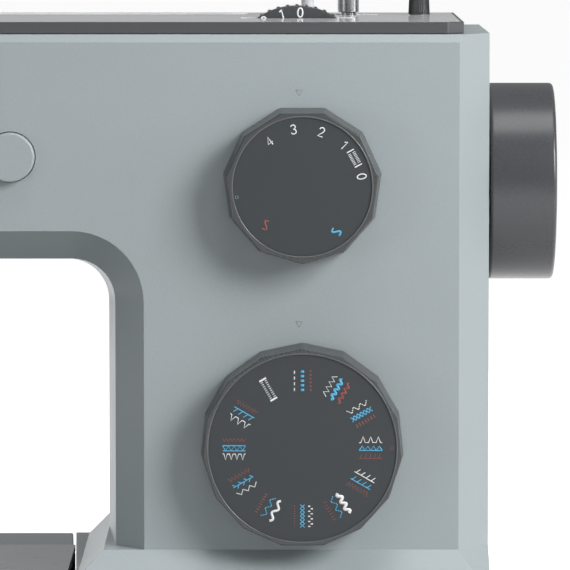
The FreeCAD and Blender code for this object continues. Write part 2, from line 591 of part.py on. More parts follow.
piece("timing_belt", belt("pulley_left + 0.5", "pulley_left + pulley_wide - 0.5", low_axle,
                          "pulley_radius", axle, "pulley_radius"))
motor_axle = ("motor_y", "motor_z")
piece("motor_belt", belt("drive_left + 0.5", "drive_left + drive_wide - 0.5", motor_axle,
                         "motor_pulley_radius", axle, "drive_radius"))
piece("motor", join(rod("x", "66", "132", motor_axle, "motor_radius"),
                    box("72", "126", "motor_y - 14", "motor_y + 14", "foot_gap + 3.05", "motor_z")))
piece("motor_pulley", join(rod("x", "132.05", "drive_left", motor_axle, "3.5"),
                           rod("x", "drive_left - 1", "drive_left + drive_wide", motor_axle,
                               "motor_pulley_radius")))

# ---------------------------------------------------------------- needle side
bar = ("needle_x", "needle_y")
pin_z = "shaft_z + crank_radius - link_long"
clamp_block = box("needle_x - 6", "link_x - 1", "needle_y - 6", "needle_y + 6",
                  f"{pin_z} - 6", f"{pin_z} + 6")
clamp_pin = rod("x", "link_x - 2", "link_x + link_thick + 0.5", ("needle_y", pin_z), "link_pin")
piece("needle_bar", join(rod("z", "bar_low", "bar_high", bar, "bar_radius"), clamp_block,
                         clamp_pin))
link_right = "link_x + link_thick"
link_web = box("link_x", link_right, "needle_y - 3", "needle_y + 3", f"{pin_z} + 3",
               "shaft_z + crank_radius - 3")
link_eyes = [rod("x", "link_x", link_right, ("needle_y", z), "6")
             for z in (pin_z, "shaft_z + crank_radius")]
link_bores = [rod("x", "link_x - 1", f"{link_right} + 1", ("needle_y", z), "link_pin + fit")
              for z in (pin_z, "shaft_z + crank_radius")]
piece("needle_bar_link", cut(join(link_web, *link_eyes), *link_bores))
gate_back = box("needle_x - 12", "needle_x - 8", "needle_y - 6", "needle_y + 6", "gate_low",
                "gate_pivot + 5")
gate_arms = [box("needle_x - 12", "needle_x + 5", "needle_y - 6", "needle_y + 6", level,
                 f"{level} + gate_plate") for level in ("gate_low", "gate_high")]
gate_head = box("needle_x - 12", "needle_x + 6", "needle_y + 6", "needle_y + 11.7",
                "gate_pivot - 6", "gate_pivot + 6")
gate_neck = box("needle_x - 12", "needle_x - 8", "needle_y + 5", "needle_y + 8",
                "gate_pivot - 6", "gate_pivot + 5")
gate_stud = rod("y", "needle_y + 8", "frame_y", ("needle_x", "gate_pivot"), "3")
gate_bar_bore = rod("z", "gate_low - 1", "gate_high + 10", bar, "bar_radius + fit")
piece("needle_gate", cut(join(gate_back, gate_neck, gate_head, gate_stud, *gate_arms),
                         gate_bar_bore))
screw_across = ("needle_y", "bar_low + 2")
needle_screw = join(rod("x", "needle_x + 4", "needle_x + 9", screw_across, "1.5"),
                    rod("x", "needle_x + 9", "needle_x + 15", screw_across, "3.5"))
piece("needle_holder", join(cut(rod("z", "bar_low - 3", "bar_low + 8", bar, "5"),
                                rod("z", "bar_low", "bar_low + 10", bar, "bar_radius"),
                                rod("z", "bar_low - 5", "bar_low + 1", bar, "1")), needle_screw))
piece("needle", join(cone("z", "needle_tip", "needle_tip + 6", bar, "0.15", "0.5"),
                     rod("z", "needle_tip + 6", "bar_low - 6", bar, "0.5"),
                     rod("z", "bar_low - 6", "bar_low", bar, "0.98")))
press = ("needle_x", "press_y")
collar_low = "head_under + 44"
piece("presser_spring", ring("z", f"{collar_low} + 14.3", "shaft_z - 8.1", press,
                             "press_radius + 2", "press_radius + 0.4"))
collar = box("needle_x - 14", "needle_x + 6", "press_y - 5.5", "press_y + 7",
             collar_low, f"{collar_low} + 8")
piece("presser_bar", join(collar, rod("z", "press_low", "press_high", press, "press_radius")))
lifter_axis = ("needle_x - 12", f"{collar_low} - 6.8")
lifter_stud = rod("y", "press_y + 8", "frame_y - 0.05", lifter_axis, "3")
lifter_arm = box("needle_x - 16", "needle_x - 8", "press_y + 5", "press_y + 9",
                 f"{collar_low} - 45", f"{collar_low} - 10")
lifter_disc = rod("y", "press_y + 5", "press_y + 12", lifter_axis, "6.5")
piece("foot_lifter", join(lifter_stud, lifter_disc, lifter_arm))
foot_holder = join(box("needle_x - 5", "needle_x + 5", "press_y - 4.5", "press_y + 4.5",
                       "press_low - 9", "press_low + 8"),
                   box("needle_x - 2.2", "needle_x + 2.2", "press_y - 4", "press_y + 2",
                       "bed_top + 6", "press_low - 8"))
ankle = ("press_y - 2", "bed_top + 7.5")
piece("presser_foot_holder", cut(foot_holder,
                                 rod("z", "press_low", "press_low + 9", press, "press_radius"),
                                 rod("x", "needle_x - 4", "needle_x + 4", ankle, "1.2 + fit")))
foot_sole = box("needle_x - 8", "needle_x + 8", "needle_y - 8", "press_y + 5", "bed_top + gap",
                "bed_top + 2.5")
foot_ears = [box(x, f"{x} + 2", "press_y - 5", "press_y + 1.5", "bed_top + 2", "bed_top + 9.5")
             for x in ("needle_x - 4.6", "needle_x + 2.6")]
foot_pin = rod("x", "needle_x - 4", "needle_x + 4", ankle, "1.2")
foot_slot = box("needle_x - 4.5", "needle_x + 4.5", "needle_y - 2.5", "needle_y + 2.5",
                "bed_top - 1", "bed_top + 4")
piece("presser_foot", join(cut(foot_sole, foot_slot), *foot_ears, foot_pin))
lever_across = ("needle_y + 12", "250")
lever_x = "needle_x - 20"
lever_pin = rod("x", lever_x, "needle_x - 14", lever_across, "3")
lever_arm = box(f"{lever_x} - 6", f"{lever_x} - 4.05", "front + 8", "needle_y + 16", "246", "254")
lever_tip = box(f"{lever_x} - 6", f"{lever_x} - 4.05", "front + 8", "front + 14", "252", "271")
lever_shank = rod("x", f"{lever_x} - 5", f"{lever_x} + 1", lever_across, "3")
piece("take_up_lever", join(lever_pin, lever_arm, lever_tip, lever_shank))

# ---------------------------------------------------------------- hook and feed
hook_axle = ("needle_x", "hook_y")
hook_cup = cut(rod("z", "hook_low", "hook_high", hook_axle, "hook_radius"),
               rod("z", "hook_low + 4", "hook_high + 1", hook_axle, "hook_radius - 1.5"))
hook_stem = rod("z", "arm_low + 8", "hook_low + 1", hook_axle, "4")
hook_gear = rod("z", "low_z + 5.6", "low_z + 10", hook_axle, "gear_radius")
piece("hook", join(hook_cup, hook_stem, hook_gear))
piece("bobbin_case", cut(rod("z", "hook_low + 4.3", "hook_high - 0.5", hook_axle,
                             "hook_radius - 1.8"),
                         rod("z", "hook_low + 6", "hook_high + 1", hook_axle, "hook_radius - 3.3")))
spool_low = "hook_low + 6.3"
piece("bobbin", cut(rod("z", spool_low, "hook_high - 4", hook_axle, "10.5"),
                    ring("z", "hook_low + 8", "hook_high - 6", hook_axle, "12", "5"),
                    rod("z", "hook_low", "hook_high + 5", hook_axle, "3")))
feed_beam = box("needle_x - 14", "-65", "needle_y + 13", "needle_y + 20", "66", "71")
feed_rise = box("needle_x - 14", "needle_x + 14", "needle_y + 5.5", "needle_y + 20", "69", "75")
feed_stem = box("needle_x - 14", "needle_x + 14", "needle_y + 10", "needle_y + 20", "66", "74")
piece("feed_bar", join(feed_beam, feed_rise, feed_stem))
dog_back = box("needle_x - 12", "needle_x + 12", "needle_y + 5", "needle_y + 18", "75.05", "79")
dog_rows = [box(f"needle_x + ({x})", f"needle_x + ({x}) + 3", y, "needle_y + 18", "75.05",
                "bed_top - 0.9") for x, y in feed_rows]
piece("feed_dog", join(dog_back, *dog_rows))
flat_screws = [cut(rod("z", "bed_top - plate_thick", "bed_top - 0.1", spot_, "3"),
                   box(f"{spot_[0]} - 4", f"{spot_[0]} + 4", f"{spot_[1]} - 0.4",
                       f"{spot_[1]} + 0.4", "bed_top - 0.9", "bed_top"))
               for spot_ in plate_screws]
piece("cover_screws", group(*face_screws, *flat_screws))

# ---------------------------------------------------------------- controls


def faceted(sides, turned, base_radius, front_radius, level):
    """A tapered many-sided grip standing off the front face."""
    rims = []
    for radius, where in ((base_radius, "front - dial_gap"),
                          (front_radius, "front - dial_gap - dial_depth")):
        rim = DOC.addObject("Part::RegularPolygon", "rim")
        rim.Polygon = sides
        rim.Placement.Rotation = (FreeCAD.Rotation(FreeCAD.Vector(1, 0, 0), 90)
                                  * FreeCAD.Rotation(FreeCAD.Vector(0, 0, 1), turned))
        bind(rim, Circumradius=radius)
        rims.append(place(rim, "dial_x", where, level))
    grip_ = DOC.addObject("Part::Loft", "grip")
    grip_.Sections = rims
    grip_.Solid = True
    grip_.Ruled = True
    return grip_


piece("stitch_length_dial", join(faceted(11, 360 / 44, "upper_base", "upper_front", "upper_z"),
                                 rod("y", "front - dial_gap - 1", "-8", ("dial_x", "upper_z"),
                                     "stem_radius"),
                                 rod("y", "front + wall + 1", "front + wall + 9",
                                     ("dial_x", "upper_z"), "14")))
piece("pattern_dial", join(faceted(15, 18, "lower_base", "lower_front", "lower_z"),
                           rod("y", "front - dial_gap - 1", "frame_y - 0.05",
                               ("dial_x", "lower_z"), "stem_radius")))
piece("pattern_cams", join(*[ring("y", f"front + wall + 2 + {4 * k}", f"front + wall + 4.5 + {4 * k}",
                                  ("dial_x", "lower_z"), f"cam_radius - {k % 2}", "stem_radius")
                             for k in range(4)],
                           ring("y", "front + wall + 2", "front + wall + 16.5",
                                ("dial_x", "lower_z"), "8", "stem_radius")))
piece("stitch_width_dial", join(rod("y", "disc_y", "disc_y + disc_wide", ("disc_x", "crown - disc_drop"),
                                    "width_radius"),
                                rod("y", "disc_y + 1", "disc_y + 13", ("disc_x", "crown - disc_drop"), "3")))
piece("tension_dial", join(rod("y", "front - 6", "front - gap", ("tension_x", "tension_z"),
                               "tension_radius"),
                           rod("y", "front - 1", "front + 14", ("tension_x", "tension_z"),
                               "stem_radius")))
piece("reverse_button", join(rod("y", "front - 4", "front + 8", ("reverse_x", "reverse_z"),
                                 "reverse_radius"),
                             rod("y", "front + wall + 3", "front + 8", ("reverse_x", "reverse_z"),
                                 "reverse_radius + 2")))
winder = ("winder_x", "winder_y")
piece("winder_spindle", join(rod("z", "crown - 24", "crown + trim_high + 18", winder, "2.9"),
                             rod("z", "crown + trim_high + 1", "crown + trim_high + 9", winder,
                                 "winder_flange"),
                             rod("z", "crown - 24", "crown - 20", winder, "4.5")))
piece("winder_bracket", cut(box("winder_x - 7", "winder_x + 7", f"{frame_back} + 0.1",
                                "winder_y + 6", "crown - 19.7", "crown - 12"),
                            rod("z", "crown - 22", "crown - 10", winder, "2.9 + fit")))
piece("power_switch", box("side - wall - 8", "side + 1", "-12", "12", "44", "64"))
piece("power_socket", cut(box("side - 22", "side + 0.4", "40", "62", "30", "52"),
                          box("side - 16", "side + 1", "43", "59", "33", "49")))
board_posts = [rod("y", "53", "back - wall - 0.1", (x, z), "2")
               for x in ("72", "124") for z in ("36", "84")]
piece("control_board", join(box("66", "130", "52", "54", "30", "90"), *board_posts))
piece("led_lamp", box("needle_x + 4", "needle_x + 26", "front + 6", "front + 15",
                      "head_under - 4", "head_under - 0.1"))

# ---------------------------------------------------------------- checks and files
DOC.recompute()
faults = [f"{item.Label} {item.State}" for item in DOC.Objects
          if any(word in state for state in item.State for word in ("Invalid", "Error"))]
for item in PIECES:
    if item.Shape.isNull() or not item.Shape.isValid() or not item.Shape.Solids:
        faults.append(f"{item.Label}: bad shape")
if faults:
    raise RuntimeError("; ".join(faults))
os.makedirs("parts", exist_ok=True)
for item in PIECES:
    item.Shape.exportStep(f"parts/{item.Label}.step")
print(len(PIECES), "pieces")
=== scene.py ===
"""A free-arm sewing machine in moulded plastic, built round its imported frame.

Metres, +Z up, +X to the operator's right, +Y away from the operator.
"""
import json
import math

import bpy
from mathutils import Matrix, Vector

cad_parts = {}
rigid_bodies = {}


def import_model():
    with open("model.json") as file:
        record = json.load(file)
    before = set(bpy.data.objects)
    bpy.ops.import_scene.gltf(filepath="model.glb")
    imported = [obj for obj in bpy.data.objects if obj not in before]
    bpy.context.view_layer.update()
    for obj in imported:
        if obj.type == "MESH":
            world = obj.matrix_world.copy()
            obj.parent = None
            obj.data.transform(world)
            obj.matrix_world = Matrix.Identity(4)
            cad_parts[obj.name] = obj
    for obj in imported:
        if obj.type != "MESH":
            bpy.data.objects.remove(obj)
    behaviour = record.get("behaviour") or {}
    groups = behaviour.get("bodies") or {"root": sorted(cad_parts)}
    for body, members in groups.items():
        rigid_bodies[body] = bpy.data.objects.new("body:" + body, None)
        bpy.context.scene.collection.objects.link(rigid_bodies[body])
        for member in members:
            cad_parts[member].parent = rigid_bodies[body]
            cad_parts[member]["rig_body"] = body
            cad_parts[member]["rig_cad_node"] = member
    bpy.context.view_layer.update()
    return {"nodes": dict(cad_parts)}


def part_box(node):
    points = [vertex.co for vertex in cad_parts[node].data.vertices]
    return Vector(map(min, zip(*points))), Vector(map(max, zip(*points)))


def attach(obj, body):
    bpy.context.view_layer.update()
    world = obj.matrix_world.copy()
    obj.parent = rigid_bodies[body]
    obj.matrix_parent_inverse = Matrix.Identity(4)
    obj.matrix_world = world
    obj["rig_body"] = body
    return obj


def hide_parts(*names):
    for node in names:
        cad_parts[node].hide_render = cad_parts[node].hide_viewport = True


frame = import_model()
MM = 0.001
scene = bpy.context.scene


# ---- Camera, floor and studio light
# A long lens stands about two metres in front of the pillar, a little above the top cover,
# and looks slightly down. The machine stands on a plain white floor in soft light.
SENSOR_MM = 36
FOCAL_TO_WIDTH = 8.696491
bpy.ops.object.camera_add(location=(105 * MM, -1843 * MM, 350 * MM),
                          rotation=(math.radians(90 - 4.88), 0, 0))
camera = bpy.context.object
camera.data.sensor_width = SENSOR_MM
camera.data.lens = FOCAL_TO_WIDTH * SENSOR_MM
camera.data.clip_end = 100
scene.camera = camera


class Wire:
    """A value in a shader. Sums and products of wires and numbers add Math nodes."""

    def __init__(self, paint, socket):
        """Hold a socket and the paint that its node belongs to."""
        self.paint, self.socket = paint, socket

    def maths(self, operation, first, second):
        """One Math node on two values."""
        return self.paint.node("ShaderNodeMath", {"operation": operation}, {0: first, 1: second})

    def __add__(self, other):
        return self.maths("ADD", self, other)

    def __sub__(self, other):
        return self.maths("SUBTRACT", self, other)

    def __rsub__(self, other):
        return self.maths("SUBTRACT", other, self)

    def __mul__(self, other):
        return self.maths("MULTIPLY", self, other)

    __radd__ = __add__
    __rmul__ = __mul__


class Paint:
    """A material with one Principled shader, built node by node."""

    def __init__(self, name, colour, roughness, **sockets):
        """Start from a plain colour and roughness, held on the shader's own sockets."""
        self.material = bpy.data.materials.new(name)
        self.material.use_nodes = True
        self.tree = self.material.node_tree
        self.shader = self.tree.nodes["Principled BSDF"]
        self.coat(Base_Color=(*colour, 1), Roughness=roughness, **sockets)

    def feed(self, socket, value):
        """Link a wire to a socket, or set a constant on it."""
        if isinstance(value, Wire):
            self.tree.links.new(value.socket, socket)
        else:
            socket.default_value = value

    def coat(self, **sockets):
        """Feed the shader's sockets, with _ for each space in their names."""
        for name, value in sockets.items():
            self.feed(self.shader.inputs[name.replace("_", " ")], value)

    def node(self, kind, settings, sockets, output=0):
        """Any other node, from its type, settings and sockets."""
        made = self.tree.nodes.new(kind)
        for name, value in settings.items():
            setattr(made, name, value)
        for name, value in sockets.items():
            self.feed(made.inputs[name], value)
        return Wire(self, made.outputs[output])

    def noise(self, scale, detail=2.0, stretch=(1, 1, 1)):
        """Noise in object coordinates, which are output 3 of their node."""
        where = self.node("ShaderNodeTexCoord", {}, {}, output=3)
        where = self.node("ShaderNodeMapping", {}, {"Vector": where, "Scale": stretch})
        return self.node("ShaderNodeTexNoise", {},
                         {"Vector": where, "Scale": scale, "Detail": detail})

    def mix(self, amount, first, second):
        """A colour between two. Inputs 6 and 7 of a colour Mix node are its A and B."""
        return self.node("ShaderNodeMix", {"data_type": "RGBA"},
                         {0: amount, 6: (*first, 1), 7: (*second, 1)}, output=2)

    def bump(self, height, distance, strength):
        """A normal from a height."""
        return self.node("ShaderNodeBump", {},
                         {"Height": height, "Distance": distance, "Strength": strength})


def pick(piece):
    """Select one object alone, out of edit mode."""
    if bpy.context.object and bpy.context.object.mode != "OBJECT":
        bpy.ops.object.mode_set(mode="OBJECT")
    bpy.ops.object.select_all(action="DESELECT")
    piece.select_set(True)
    bpy.context.view_layer.objects.active = piece


pick(camera)
bpy.ops.mesh.primitive_plane_add(size=60, location=(0, 0, 0))
floor = bpy.context.object
floor.name = "floor"
floor_paint = Paint("white_floor", (0.86, 0.86, 0.86), 0.9)
floor_paint.coat(Emission_Color=(1, 1, 1, 1), Emission_Strength=0.7)
floor.data.materials.append(floor_paint.material)
floor.visible_diffuse = False

scene.view_settings.view_transform = "Standard"
scene.world = bpy.data.worlds.new("studio")
scene.world.use_nodes = True
scene.world.node_tree.nodes["Background"].inputs["Color"].default_value = (1, 1, 1, 1)
sky = scene.world.node_tree.nodes["Background"].inputs["Strength"]
sight = scene.world.node_tree.nodes.new("ShaderNodeLightPath")
seen = scene.world.node_tree.nodes.new("ShaderNodeMapRange")
seen.inputs["To Min"].default_value = 0.3
seen.inputs["To Max"].default_value = 1.0
scene.world.node_tree.links.new(sight.outputs["Is Camera Ray"], seen.inputs["Value"])
scene.world.node_tree.links.new(seen.outputs["Result"], sky)


def softbox(name, place, aim, size, power):
    """A square area light that looks at a point."""
    bpy.ops.object.light_add(type="AREA", location=place)
    light = bpy.context.object
    light.name = name
    light.data.size = size
    light.data.energy = power
    light.rotation_euler = (Vector(aim) - Vector(place)).to_track_quat("-Z", "Y").to_euler()


PILLAR = (0.1, 0, 0.2)
softbox("key_light", (0.95, -0.8, 0.78), PILLAR, 0.55, 16.5)
softbox("side_light", (2.3, -0.6, 0.6), PILLAR, 0.7, 8)
softbox("top_light", (0.3, -0.5, 2.3), PILLAR, 1.0, 13)
softbox("left_fill", (-1.1, -1.0, 0.1), (0, 0, 0.15), 0.6, 3.4)
softbox("back_light", (-0.9, 1.5, 0.9), (0, 0, 0.1), 1.2, 12)


# ---- Casing
# The front and rear shells, end cover, free-arm cover and slide-on table are moulded in one
# grey plastic with a spark-eroded satin grain. Mould edges are slightly round.
def moulded(name, colour, roughness, grain=1.0, speckle=0.06, **sockets):
    """Moulded plastic: fine grain, faint flow marks and a little polish from hands."""
    paint = Paint(name, colour, roughness, **sockets)
    fine = paint.noise(1400, 3)
    flow = paint.noise(9, 4, (1, 1, 2.5))
    worn = paint.noise(45, 5)
    shade = (fine - 0.5) * 0.5 + (flow - 0.5) * 0.3 + 0.5
    darker = [channel * (1 - 3 * speckle) for channel in colour]
    lighter = [channel * (1 + 3 * speckle) for channel in colour]
    paint.coat(Base_Color=paint.mix(shade, darker, lighter),
               Roughness=(worn - 0.5) * 0.12 + (fine - 0.5) * 0.08 + roughness,
               Normal=paint.bump(fine, 0.00006 * grain, 0.35))
    return paint.material


def soften(piece, width, segments=3, angle=30):
    """Round a piece's sharp edges and smooth what is nearly flat."""
    pick(piece)
    rounding = piece.modifiers.new("rounded_edges", "BEVEL")
    rounding.width = width * MM
    rounding.segments = segments
    rounding.limit_method = "ANGLE"
    rounding.angle_limit = math.radians(angle)
    bpy.ops.object.modifier_apply(modifier="rounded_edges")
    bpy.ops.object.shade_smooth_by_angle(angle=math.radians(32))
    shading = piece.modifiers.new("level_faces", "WEIGHTED_NORMAL")
    shading.keep_sharp = True
    bpy.ops.object.modifier_apply(modifier="level_faces")


def settle(piece, name, body, material, *nodes):
    """Give a finished piece its name, finish and body, with its place in its mesh."""
    pick(piece)
    bpy.ops.object.transform_apply(location=True, rotation=True, scale=True)
    piece.name = name
    piece.data.materials.clear()
    piece.data.materials.append(material)
    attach(piece, body)
    if nodes:
        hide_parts(*nodes)


def merged_copy(node):
    """A loose copy of a frame piece, with its flat triangles joined into faces."""
    source = frame["nodes"][node]
    piece = source.copy()
    piece.data = source.data.copy()
    piece.parent = None
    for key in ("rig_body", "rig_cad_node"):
        del piece[key]
    scene.collection.objects.link(piece)
    pick(piece)
    bpy.ops.object.mode_set(mode="EDIT")
    bpy.ops.mesh.select_all(action="SELECT")
    bpy.ops.mesh.remove_doubles(threshold=0.000002)
    bpy.ops.mesh.dissolve_limited(angle_limit=math.radians(0.5))
    bpy.ops.object.mode_set(mode="OBJECT")
    return piece


def finish_node(node, width, material):
    """Replace a frame piece with a copy that has rounded edges and its own finish."""
    body = frame["nodes"][node]["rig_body"]
    piece = merged_copy(node)
    soften(piece, width)
    settle(piece, f"{node}_finished", body, material, node)


casing = moulded("casing_plastic", (0.325, 0.367, 0.38), 0.4, speckle=0.05)
for node, width in (("front_cover", 0.9), ("rear_cover", 0.9), ("face_cover", 1.0),
                    ("free_arm_cover", 0.8), ("extension_table", 0.7), ("accessory_lid", 0.4),
                    ("reverse_button", 0.8)):
    finish_node(node, width, casing)


# ---- Pointer marks on the front cover
# A small triangle stands above each of the two big dials. Its dark outline is painted shade in
# place of an engraved groove; no groove is cut.
def printed(name, body, material, strokes, depth, face="front"):
    """Ink lines half sunk in a surface. Each stroke is (width, points), in millimetres."""
    pick(camera)
    bpy.ops.object.add(type="CURVE")
    drawing = bpy.context.object
    drawing.data.dimensions = "3D"
    drawing.data.bevel_resolution = 1
    drawing.data.bevel_depth = 0.5 * MM
    for width, points in strokes:
        spline = drawing.data.splines.new("POLY")
        spline.points.add(len(points) - 1)
        for point, (across, up) in zip(spline.points, points):
            place = (across, 0, up) if face == "front" else (across, up, 0)
            point.co = (*[value * MM for value in place], 1)
            point.radius = width
    drawing.data.use_fill_caps = True
    bpy.ops.object.convert(target="MESH")
    flat = (1, 0.07, 1) if face == "front" else (1, 1, 0.07)
    bpy.context.object.scale = flat
    bpy.context.object.location = (0, depth * MM, 0) if face == "front" else (0, 0, depth * MM)
    settle(bpy.context.object, name, body, material)


def ring_place(centre, angle, radius, across=0.0):
    """A point on a dial, its angle clockwise from the top."""
    turn = math.radians(angle)
    return (centre[0] + radius * math.sin(turn) + across * math.cos(turn),
            centre[1] + radius * math.cos(turn) - across * math.sin(turn))


POINTER_X = 110.1
FRONT_FACE = -43.0
# Dark lines of painted shade, standing in for the shade inside engraved grooves.
groove_shade = moulded("groove_shade_ink", (0.13, 0.14, 0.145), 0.6, grain=0.3)
triangles = []
for height in (266.5, 182.0):
    left_corner = (POINTER_X - 1.2, height + 0.9)
    right_corner = (POINTER_X + 1.2, height + 0.9)
    triangles.append((0.3, [left_corner, right_corner, (POINTER_X, height - 1.2), left_corner]))
printed("dial_pointers", "machine", groove_shade, triangles, FRONT_FACE)


# ---- Top cover and trim
# A dark band of satin plastic runs round the top edge, and a light glossy cover lies in it,
# with a well for the carry handle. Both are clipped to the frame from inside.
trim_plastic = moulded("trim_plastic", (0.062, 0.066, 0.07), 0.36, grain=0.5, speckle=0.03)
gloss_grey = moulded("top_cover_gloss", (0.76, 0.78, 0.79), 0.14, grain=0.1, speckle=0.01,
                     Coat_Weight=0.4, Coat_Roughness=0.08)
finish_node("top_trim", 1.3, trim_plastic)
finish_node("top_cover", 0.3, gloss_grey)
dark_plastic = moulded("dark_plastic", (0.045, 0.05, 0.053), 0.4, speckle=0.05)
finish_node("carry_handle", 1.0, dark_plastic)


# ---- End seal
# A ribbed strip of soft dark foam closes the gap between the end cover and the top trim.
# It is glued along the frame's left end.
SEAL_HEIGHT = 3.0
SEAL_MIDDLE = 286.0
ROWS = 6
seal_foam = moulded("seal_foam", (0.03, 0.032, 0.034), 0.8, grain=3)
pick(camera)
bpy.ops.mesh.primitive_cube_add(size=1, location=(-202.2 * MM, 17 * MM, SEAL_MIDDLE * MM),
                                scale=(2.6 * MM, 108 * MM, SEAL_HEIGHT * MM))
seal = bpy.context.object
bpy.ops.object.transform_apply(location=True, scale=True)
bpy.ops.object.mode_set(mode="EDIT")
bpy.ops.mesh.subdivide(number_cuts=ROWS - 1)
bpy.ops.mesh.select_all(action="DESELECT")
bpy.ops.object.mode_set(mode="OBJECT")
row_height = SEAL_HEIGHT / ROWS
first_row = SEAL_MIDDLE - SEAL_HEIGHT / 2 + row_height / 2
for face in seal.data.polygons:
    row = round((face.center.z - first_row * MM) / (row_height * MM))
    face.select = face.normal.x < -0.9 and row % 2 == 0
bpy.ops.object.mode_set(mode="EDIT")
bpy.ops.mesh.extrude_region_move(TRANSFORM_OT_translate={"value": (-0.35 * MM, 0, 0)})
soften(seal, 0.08, 2)
settle(seal, "end_seal", "machine", seal_foam)


# ---- Inner pieces
# Plated and ground steel, die-cast alloy, sintered bushes, rubber belts and acetal wheels
# fill the inside. Their marks are from turning and grinding.
def metal(name, colour, roughness, brushed):
    """Bare metal with fine turning marks."""
    paint = Paint(name, colour, roughness, Metallic=1.0)
    lines = paint.noise(500, 2, (0.15, 1, 6))
    marks = paint.noise(60, 4)
    paint.coat(Roughness=(lines - 0.5) * brushed + (marks - 0.5) * 0.06 + roughness,
               Normal=paint.bump(lines, 0.00001, 0.06))
    return paint.material


chrome = metal("chrome_plate", (0.5, 0.51, 0.52), 0.12, 0.05)
steel = metal("ground_steel", (0.5, 0.51, 0.52), 0.3, 0.14)
cast = metal("die_cast_alloy", (0.42, 0.43, 0.44), 0.5, 0.1)
bronze = metal("sintered_bronze", (0.55, 0.38, 0.18), 0.45, 0.1)
rubber = moulded("black_rubber", (0.02, 0.02, 0.02), 0.75, grain=2)
acetal = moulded("natural_acetal", (0.72, 0.71, 0.66), 0.35, grain=0.3, speckle=0.02)
board_green = moulded("circuit_board", (0.03, 0.16, 0.07), 0.3, grain=0.3)
lens_plastic = moulded("lamp_lens", (0.9, 0.9, 0.86), 0.15, grain=0.2, speckle=0.01)
inner_finishes = {
    dark_plastic: ("motor",),
    steel: ("main_shaft", "lower_shaft", "needle_gate", "needle_bar_link", "presser_spring",
            "crank_disc", "hook", "cover_screws", "handle_pins"),
    cast: ("arm_frame", "bed_frame", "feed_bar"),
    bronze: ("shaft_bushes",),
    rubber: ("timing_belt", "motor_belt"),
    acetal: ("shaft_pulleys", "lower_pulley", "motor_pulley", "pattern_cams", "bobbin_case",
             "bobbin"),
    board_green: ("control_board",),
    lens_plastic: ("led_lamp",),
}
for material, nodes in inner_finishes.items():
    for node in nodes:
        frame["nodes"][node].data.materials.clear()
        frame["nodes"][node].data.materials.append(material)


# ---- Sewing end and bed
# Needle bar, presser bar and foot are plated steel. The needle plate is ground steel with
# seam guides drawn as dark lines of painted shade for engraved grooves, and the bobbin cover is
# smoked clear plastic.
smoked = moulded("smoked_plastic", (0.11, 0.105, 0.1), 0.08, grain=0.05, speckle=0.02,
                 Coat_Weight=0.5)
for node, width, material in (
        ("needle_bar", 0.3, chrome), ("needle_holder", 0.4, chrome), ("needle", 0.05, chrome),
        ("presser_bar", 0.3, chrome), ("presser_foot", 0.35, chrome),
        ("presser_foot_holder", 0.5, chrome), ("take_up_lever", 0.4, chrome),
        ("thread_guide", 0.3, chrome), ("feed_dog", 0.1, steel), ("needle_plate", 0.3, steel),
        ("bobbin_cover", 0.3, smoked), ("foot_lifter", 0.8, dark_plastic)):
    finish_node(node, width, material)

NEEDLE_X = -165
plate_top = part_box("needle_plate")[1].z / MM
# The seam guides are drawn in the painted groove shade, not cut into the plate.
guides = []
for spacing in (16, 19, 22, 25):
    column = NEEDLE_X + spacing
    guides.append((0.35, [(column, 2), (column, 18)]))
for tick in (4, 8, 12, 16):
    guides.append((0.25, [(NEEDLE_X + 16, tick), (NEEDLE_X + 25, tick)]))
printed("seam_guides", "machine", groove_shade, guides, plate_top, face="top")


# ---- Base, feet and mains inlet
# The dark base pan closes the bed from below and stands on six rubber feet. The inlet and
# the rocker switch are snapped into the right end.
for node, width, material in (
        ("base_pan", 0.8, dark_plastic), ("rubber_feet", 0.8, rubber),
        ("power_socket", 0.4, dark_plastic), ("power_switch", 0.5, dark_plastic)):
    finish_node(node, width, material)


# ---- Spool pin and bobbin winder
# The spool pin is light plastic and slides down into the cover. The winder spindle is turned
# steel, satin nickel-plated, on a bracket that slides it towards a fluted rubber stop.
light_plastic = moulded("light_plastic", (0.5, 0.52, 0.53), 0.35, grain=0.4, speckle=0.02)
finish_node("spool_pin", 0.3, light_plastic)
finish_node("winder_bracket", 0.3, light_plastic)
nickel = metal("satin_nickel", (0.3, 0.305, 0.31), 0.24, 0.08)
finish_node("winder_spindle", 0.25, nickel)


def turned(profile, centre, sides):
    """A round solid grown from a disc ring by ring. The profile is (radius, height) pairs."""
    pick(camera)
    first_radius, first_height = profile[0]
    bpy.ops.mesh.primitive_circle_add(
        vertices=sides, radius=first_radius * MM, fill_type="NGON",
        location=(centre[0] * MM, centre[1] * MM, first_height * MM))
    bpy.ops.object.mode_set(mode="EDIT")
    bpy.ops.mesh.select_all(action="SELECT")
    for (radius, height), (next_radius, next_height) in zip(profile, profile[1:]):
        bpy.ops.mesh.extrude_region_move(
            TRANSFORM_OT_translate={"value": (0, 0, (next_height - height) * MM)})
        bpy.ops.transform.resize(value=(next_radius / radius, next_radius / radius, 1))
    bpy.ops.mesh.select_all(action="SELECT")
    bpy.ops.mesh.normals_make_consistent(inside=False)
    bpy.ops.object.mode_set(mode="OBJECT")
    return bpy.context.object


